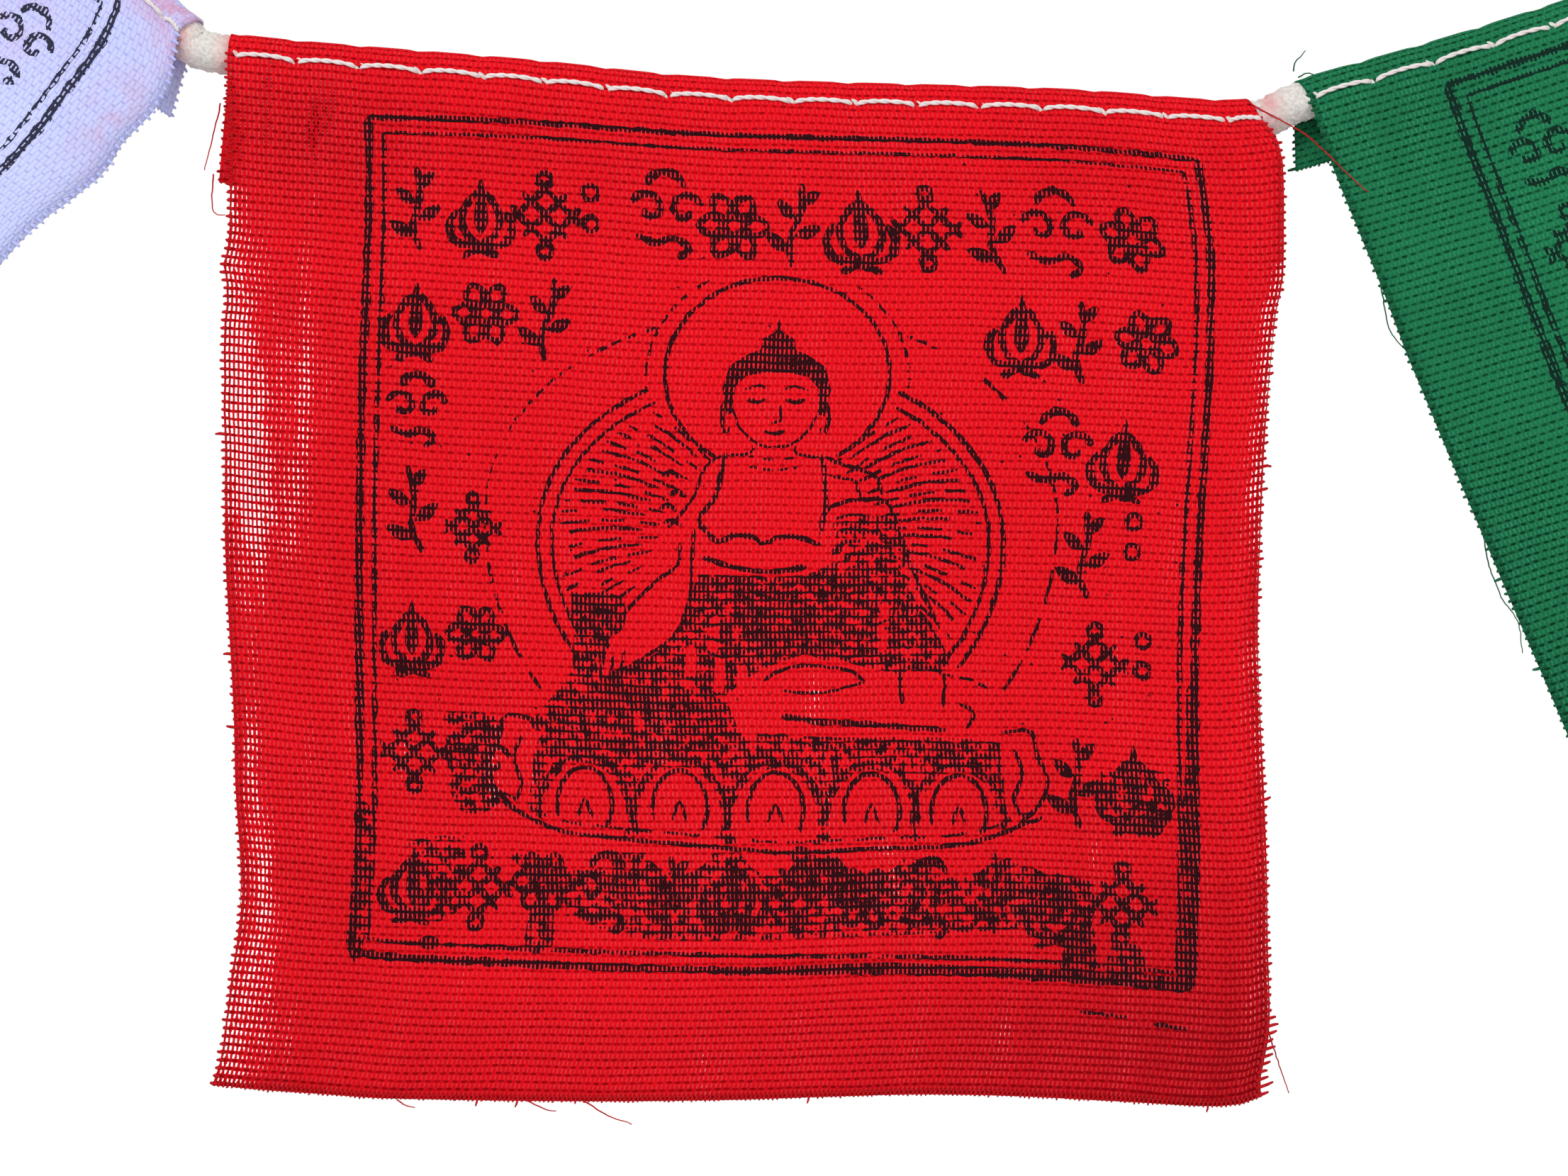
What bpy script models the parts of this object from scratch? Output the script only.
"""A string of three prayer flags: cut cloths, each folded over one cord and sewn there, with a knot at each end.

X runs along the string, Z is up, and the printed faces look along -Y. The origin is the tip of the
cord's left end, by which the string is tied up. Sizes in the tables are in millimetres, measured from
the middle of the red flag: across is along X, and up is along Z.
"""

import math
from collections import namedtuple

import bmesh
import bpy
import numpy as np
from mathutils import Vector

MM = 0.001

# The cord and its knots
CORD_DIAMETER = 3.8
CORD_STEP = 5.0
CORD_BEVEL_RESOLUTION = 2
KNOT_DIAMETER = 10.0
KNOT_LENGTH = 10.0
KNOT_LOBES = 2
KNOT_LOBE_DEPTH = 0.09
KNOT_TWIST = math.radians(150)
KNOT_SIDES = 16
KNOT_RINGS = 8
TAIL_LENGTH = 6.0
FACE_GAP = 0.3

# The cloth
CLOTH_THICKNESS = 1.0
CORD_CLEARANCE = 0.4
COLUMNS = 20
FRONT_ROWS = 20
FOLD_STEPS = 6
FLAP_ROWS = 3
FRONT_REST = 1.6  # how far the panel hangs in front of the cord's middle
FLAP_REST = 1.0  # how far the flap's free edge hangs behind it
SETTLE = 9.0  # the cloth comes in from the cord over about this distance
FOLD_FADE = 14.0  # folds die out this close to the cord

Point = namedtuple("Point", "across up")

# The middle of the cord, from knot to knot
ROUTE = (
    Point(-145.3, 120.2),
    Point(-137.4, 113.9),
    Point(-117.5, 98.0),
    Point(-97.4, 82.4),
    Point(-78.0, 68.2),
    Point(-61.8, 56.7),
    Point(-58.3, 53.8),
    Point(-53.5, 51.6),
    Point(-25.1, 49.1),
    Point(-6.0, 47.3),
    Point(25.6, 46.3),
    Point(44.0, 45.2),
    Point(50.6, 47.3),
    Point(68.9, 52.6),
    Point(98.0, 62.2),
    Point(121.0, 71.5),
    Point(144.0, 82.3),
    Point(152.0, 86.4),
)

# A fold is a soft ridge towards the viewer, or a trough where rise is below zero. It runs between two
# places, each given as shares of the flag's width and height.
Fold = namedtuple("Fold", "from_across from_down to_across to_down width rise")

# front_ends and back_ends are where the cloth's two side edges cross the cord, in front and behind.
# left, right and bottom are the rest of the panel's outline, and flap is the free edge behind.
Flag = namedtuple("Flag", "name colour front_ends back_ends left right bottom flap folds")

WHITE_FLAG = Flag(
    name="flag_white",
    colour=(0.60, 0.62, 0.90, 1.0),
    front_ends=(-137.4, -58.4),
    back_ends=(-137.0, -57.7),
    left=(Point(-150.0, 97.0), Point(-166.0, 75.0), Point(-180.0, 52.0), Point(-190.0, 29.5)),
    right=(
        Point(-59.3, 48.1),
        Point(-62.1, 43.9),
        Point(-68.0, 37.3),
        Point(-75.7, 30.1),
        Point(-88.0, 15.5),
        Point(-101.0, -3.0),
        Point(-114.0, -29.0),
    ),
    bottom=(Point(-171.0, 13.6), Point(-152.0, 1.2), Point(-133.0, -15.0)),
    flap=(Point(-141.4, 107.8), Point(-101.8, 76.2), Point(-59.6, 45.7)),
    folds=(
        Fold(0.95, 0.15, 1.0, 0.75, 16.0, 4.5),
        Fold(0.62, 0.20, 0.72, 1.0, 15.0, -3.0),
        Fold(0.22, 0.25, 0.35, 1.0, 17.0, 3.5),
        Fold(0.0, 0.9, 0.1, 1.0, 14.0, -3.0),
    ),
)
RED_FLAG = Flag(
    name="flag_red",
    colour=(0.74, 0.005, 0.018, 1.0),
    front_ends=(-53.6, 46.0),
    back_ends=(-54.0, 43.6),
    left=(
        Point(-53.7, 38.7),
        Point(-54.0, 26.1),
        Point(-53.8, 3.8),
        Point(-52.8, -18.9),
        Point(-52.3, -28.5),
        Point(-53.2, -37.0),
        Point(-55.1, -47.9),
    ),
    right=(
        Point(47.9, 41.8),
        Point(48.3, 35.0),
        Point(48.0, 28.8),
        Point(46.8, 18.9),
        Point(45.8, -3.8),
        Point(46.2, -18.9),
        Point(46.5, -40.2),
        Point(45.8, -48.9),
    ),
    bottom=(Point(-37.2, -49.5), Point(-14.6, -49.6), Point(13.3, -48.9), Point(41.0, -49.6)),
    flap=(Point(-54.9, 39.4), Point(-5.0, 34.6), Point(44.5, 32.4)),
    folds=(
        Fold(0.06, 0.30, 0.02, 0.95, 11.0, 2.0),
        Fold(0.30, 0.45, 0.24, 1.0, 13.0, -1.8),
        Fold(0.55, 0.25, 0.50, 1.0, 15.0, 1.6),
        Fold(0.80, 0.50, 0.84, 0.9, 12.0, -1.4),
        Fold(1.0, 0.80, 0.93, 1.0, 13.0, 3.4),
    ),
)
GREEN_FLAG = Flag(
    name="flag_green",
    colour=(0.010, 0.205, 0.082, 1.0),
    front_ends=(50.7, 144.0),
    back_ends=(49.7, 143.6),
    left=(
        Point(52.1, 43.4),
        Point(57.6, 29.6),
        Point(62.1, 18.7),
        Point(66.9, 7.3),
        Point(75.7, -13.3),
        Point(83.0, -31.0),
        Point(88.6, -47.2),
    ),
    right=(Point(152.0, 63.0), Point(162.5, 41.0), Point(172.5, 16.5), Point(181.0, -10.0)),
    bottom=(Point(112.0, -38.6), Point(135.0, -27.4), Point(158.0, -19.4)),
    flap=(Point(49.7, 40.5), Point(100.4, 55.4), Point(146.8, 75.4)),
    folds=(
        Fold(0.08, 0.35, 0.04, 1.0, 13.0, -2.4),
        Fold(0.36, 0.20, 0.33, 1.0, 14.0, 2.8),
        Fold(0.66, 0.30, 0.62, 1.0, 14.0, -2.8),
        Fold(0.95, 0.40, 0.92, 1.0, 14.0, 3.6),
    ),
)
FLAGS = (WHITE_FLAG, RED_FLAG, GREEN_FLAG)
CORD_COLOUR = (0.82, 0.78, 0.72, 1.0)
CURVE_STEPS = 24  # points on the smooth curve between two points of a table


def clear_scene():
    for obj in list(bpy.data.objects):
        bpy.data.objects.remove(obj)


def material(name, colour):
    made = bpy.data.materials.new(name)
    made.use_nodes = True
    shader = made.node_tree.nodes["Principled BSDF"]
    shader.inputs["Base Color"].default_value = colour
    shader.inputs["Roughness"].default_value = 0.9
    shader.inputs["Metallic"].default_value = 0.0
    return made


def smooth_curve(points):
    """A finely stepped Catmull-Rom curve through the points, as an array of (across, up)."""
    given = np.array([tuple(p) for p in points], float)
    before = 2 * given[0] - given[1]
    after = 2 * given[-1] - given[-2]
    knots = np.vstack([before, given, after])
    share = np.linspace(0, 1, CURVE_STEPS, endpoint=False)[:, None]
    pieces = []
    for a, b, c, d in zip(knots, knots[1:], knots[2:], knots[3:]):
        cubic = 3 * b - 3 * c + d - a
        square = 2 * a - 5 * b + 4 * c - d
        pieces.append(0.5 * (2 * b + (c - a) * share + square * share**2 + cubic * share**3))
    return np.vstack([*pieces, given[-1]])


def lengths_along(curve):
    steps = np.linalg.norm(np.diff(curve, axis=0), axis=1)
    return np.concatenate([[0], np.cumsum(steps)])


def at_share(curve, share):
    """The point at a share of the curve's length."""
    along = lengths_along(curve)
    return np.array([np.interp(share * along[-1], along, curve[:, k]) for k in (0, 1)])


def at_across(curve, across):
    return np.array([across, np.interp(across, curve[:, 0], curve[:, 1])])


def upward(curve, across):
    """The direction square to the cord and upward, in the plane of the string."""
    reach = 1.0
    run = at_across(curve, across + reach) - at_across(curve, across - reach)
    run /= np.linalg.norm(run)
    return np.array([-run[1], run[0]])


def placed(point, depth=0.0):
    """A point of the tables in metres from the origin, depth behind the cord's middle."""
    return Vector((point[0] - ORIGIN[0], depth, point[1] - ORIGIN[1])) * MM


def ease(share):
    share = min(max(share, 0.0), 1.0)
    return share * share * (3 - 2 * share)


def patch(top, bottom, left, right, s, t):
    """The place at shares s across and t down between four edge curves."""
    between_rows = (1 - t) * at_share(top, s) + t * at_share(bottom, s)
    between_sides = (1 - s) * at_share(left, t) + s * at_share(right, t)
    upper = (1 - s) * top[0] + s * top[-1]
    lower = (1 - s) * bottom[0] + s * bottom[-1]
    return between_rows + between_sides - (1 - t) * upper - t * lower


def fold_rise(folds, size, s, t):
    """How far the folds bring the cloth towards the viewer at shares s across and t down."""
    rise = 0.0
    here = np.array([s, t]) * size
    for fold in folds:
        start = np.array([fold.from_across, fold.from_down]) * size
        run = np.array([fold.to_across, fold.to_down]) * size - start
        nearest = start + np.clip((here - start) @ run / (run @ run), 0, 1) * run
        rise += fold.rise * math.exp(-(((here - nearest) @ (here - nearest)) / fold.width**2))
    return rise * ease(t * size[1] / FOLD_FADE)


def front_panel(flag, cord):
    """Rows of places from the bottom edge up to the cord."""
    start, end = (at_across(cord, across) for across in flag.front_ends)
    inside = (cord[:, 0] > start[0]) & (cord[:, 0] < end[0])
    top = np.vstack([start, cord[inside], end])
    left = smooth_curve((Point(*start), *flag.left))
    right = smooth_curve((Point(*end), *flag.right))
    bottom = smooth_curve((flag.left[-1], *flag.bottom, flag.right[-1]))
    size = np.array([lengths_along(top)[-1], lengths_along(left)[-1]])
    wrap = CORD_DIAMETER / 2 + CORD_CLEARANCE + CLOTH_THICKNESS / 2
    rows = []
    for row in range(FRONT_ROWS + 1):
        t = 1 - row / FRONT_ROWS
        coming_in = math.exp(-((t * size[1] / SETTLE) ** 2))
        hang = FRONT_REST + (wrap - FRONT_REST) * coming_in
        places = []
        for column in range(COLUMNS + 1):
            s = column / COLUMNS
            depth = -hang - fold_rise(flag.folds, size, s, t)
            places.append(placed(patch(top, bottom, left, right, s, t), depth))
        rows.append(places)
    return rows


def over_the_cord(flag, cord):
    """Rows of places from the front of the cord over its top to its back."""
    wrap = CORD_DIAMETER / 2 + CORD_CLEARANCE + CLOTH_THICKNESS / 2
    rows = []
    for step in range(1, FOLD_STEPS + 1):
        share = step / FOLD_STEPS
        turn = math.pi * share
        first, last = (
            front + (back - front) * share for front, back in zip(flag.front_ends, flag.back_ends)
        )
        places = []
        for column in range(COLUMNS + 1):
            across = first + (last - first) * column / COLUMNS
            lift = upward(cord, across) * wrap * math.sin(turn)
            places.append(placed(at_across(cord, across) + lift, -wrap * math.cos(turn)))
        rows.append(places)
    return rows


def back_flap(flag, cord):
    """Rows of places from the back of the cord down to the flap's free edge."""
    wrap = CORD_DIAMETER / 2 + CORD_CLEARANCE + CLOTH_THICKNESS / 2
    free_edge = smooth_curve(flag.flap)
    first, last = flag.back_ends
    rows = []
    for row in range(1, FLAP_ROWS + 1):
        t = row / FLAP_ROWS
        depth = wrap + (FLAP_REST - wrap) * ease(t)
        places = []
        for column in range(COLUMNS + 1):
            s = column / COLUMNS
            root = at_across(cord, first + (last - first) * s)
            places.append(placed(root + (at_share(free_edge, s) - root) * t, depth))
        rows.append(places)
    return rows


def make_flag(flag, cord):
    rows = front_panel(flag, cord) + over_the_cord(flag, cord) + back_flap(flag, cord)
    width = COLUMNS + 1
    corners = [place for row in rows for place in row]
    faces = []
    for row in range(len(rows) - 1):
        for column in range(COLUMNS):
            corner = row * width + column
            faces.append((corner, corner + 1, corner + width + 1, corner + width))
    mesh = bpy.data.meshes.new(flag.name)
    mesh.from_pydata(corners, [], faces)
    mesh.shade_smooth()
    cloth = bpy.data.objects.new(flag.name, mesh)
    cloth.data.materials.append(material(flag.name, flag.colour))
    thicken = cloth.modifiers.new("cloth", "SOLIDIFY")
    thicken.thickness = CLOTH_THICKNESS * MM
    thicken.offset = 0.0
    bpy.context.collection.objects.link(cloth)


def make_cord(cord):
    curve = bpy.data.curves.new("cord", "CURVE")
    curve.dimensions = "3D"
    curve.bevel_depth = CORD_DIAMETER / 2 * MM
    curve.bevel_resolution = CORD_BEVEL_RESOLUTION
    curve.use_fill_caps = True
    count = round(lengths_along(cord)[-1] / CORD_STEP) + 1
    spline = curve.splines.new("POLY")
    spline.points.add(count - 1)
    for index, point in enumerate(spline.points):
        point.co = (*placed(at_share(cord, index / (count - 1))), 1)
    tube = bpy.data.objects.new("cord", curve)
    tube.data.materials.append(material("cord", CORD_COLOUR))
    bpy.context.collection.objects.link(tube)


def knot_rings():
    """(distance from the cord's end, radius, lobe depth) of each ring of a knot and its tail."""
    radius = CORD_DIAMETER / 2
    rings = []
    for ring in range(KNOT_RINGS + 1):
        share = ring / KNOT_RINGS
        swell = math.sin(math.pi * share) ** 0.6
        rings.append(
            (
                FACE_GAP + KNOT_LENGTH * share,
                radius + (KNOT_DIAMETER / 2 - radius) * swell,
                KNOT_LOBE_DEPTH * swell,
            )
        )
    rings.append((FACE_GAP + KNOT_LENGTH + TAIL_LENGTH, radius, 0.0))
    return rings


def make_knot(name, end, outward):
    """A pulled-tight knot with a short tail, from the cord's end along outward."""
    axis = Vector((outward[0], 0, outward[1]))
    side = Vector((0, 1, 0))
    third = axis.cross(side)
    shape = bmesh.new()
    rings = []
    for distance, radius, lobe in knot_rings():
        ring = []
        for index in range(KNOT_SIDES):
            angle = 2 * math.pi * index / KNOT_SIDES
            turned = KNOT_LOBES * angle + KNOT_TWIST * distance / KNOT_LENGTH
            reach = radius * (1 + lobe * math.cos(turned))
            offset = side * math.cos(angle) + third * math.sin(angle)
            ring.append(shape.verts.new(placed(end) + (axis * distance + offset * reach) * MM))
        rings.append(ring)
    for ring, following in zip(rings, rings[1:]):
        for index in range(KNOT_SIDES):
            beyond = (index + 1) % KNOT_SIDES
            shape.faces.new((ring[index], ring[beyond], following[beyond], following[index]))
    shape.faces.new(rings[0])
    shape.faces.new(rings[-1])
    bmesh.ops.recalc_face_normals(shape, faces=shape.faces)
    mesh = bpy.data.meshes.new(name)
    shape.to_mesh(mesh)
    shape.free()
    mesh.shade_smooth()
    knot = bpy.data.objects.new(name, mesh)
    knot.data.materials.append(material(name, CORD_COLOUR))
    bpy.context.collection.objects.link(knot)


def outward_end(cord, index, neighbour):
    """The cord's end, and the direction in which it points."""
    run = cord[index] - cord[neighbour]
    return cord[index], run / np.linalg.norm(run)


CORD = smooth_curve(ROUTE)
LEFT_END, LEFT_OUTWARD = outward_end(CORD, 0, 1)
RIGHT_END, RIGHT_OUTWARD = outward_end(CORD, -1, -2)
ORIGIN = LEFT_END + LEFT_OUTWARD * (FACE_GAP + KNOT_LENGTH + TAIL_LENGTH)


def main():
    clear_scene()
    make_cord(CORD)
    make_knot("knot_left", LEFT_END, LEFT_OUTWARD)
    make_knot("knot_right", RIGHT_END, RIGHT_OUTWARD)
    for flag in FLAGS:
        make_flag(flag, CORD)


main()
